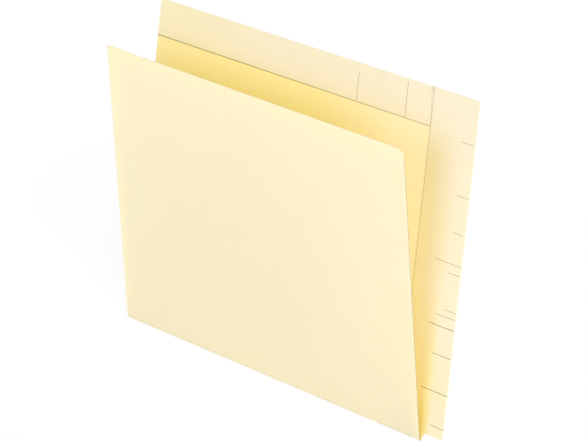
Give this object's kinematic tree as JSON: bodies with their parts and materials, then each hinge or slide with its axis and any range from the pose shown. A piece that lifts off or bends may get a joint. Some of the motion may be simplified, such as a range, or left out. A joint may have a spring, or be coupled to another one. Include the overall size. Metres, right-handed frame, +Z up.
{
  "type": "side tab file folder",
  "caption": "Letter-size manila folder with a two-ply filing tab down one side, a two-ply top strip, a lower front leaf and a creased bottom fold that opens and closes.",
  "frame": {"origin": "middle of the fold's foot, on the surface that the folder stands on", "axes": "+X along the fold towards the filing tab, -Y the front leaf's side, +Y the back leaf's side, +Z up"},
  "size_m": [0.3112, 0.0536, 0.2387],
  "materials": {
    "manila_outside": "matte",
    "manila_inside": "matte",
    "dried_glue": "matte"
  },
  "bodies": {
    "back": {"back_leaf": "manila_inside", "bottom_crease": "manila_outside", "side_flap": "manila_outside", "top_flap": "manila_outside", "side_flap_glue": "dried_glue", "top_flap_glue": "dried_glue"},
    "front": {"front_leaf": "manila_outside"}
  },
  "joints": [
    {"name": "fold", "type": "hinge", "parent": "back", "child": "front", "pos_m": [0, 0, 0.00075], "axis": [1, 0, 0], "range_deg": [-12.9, 167.1]}
  ]
}
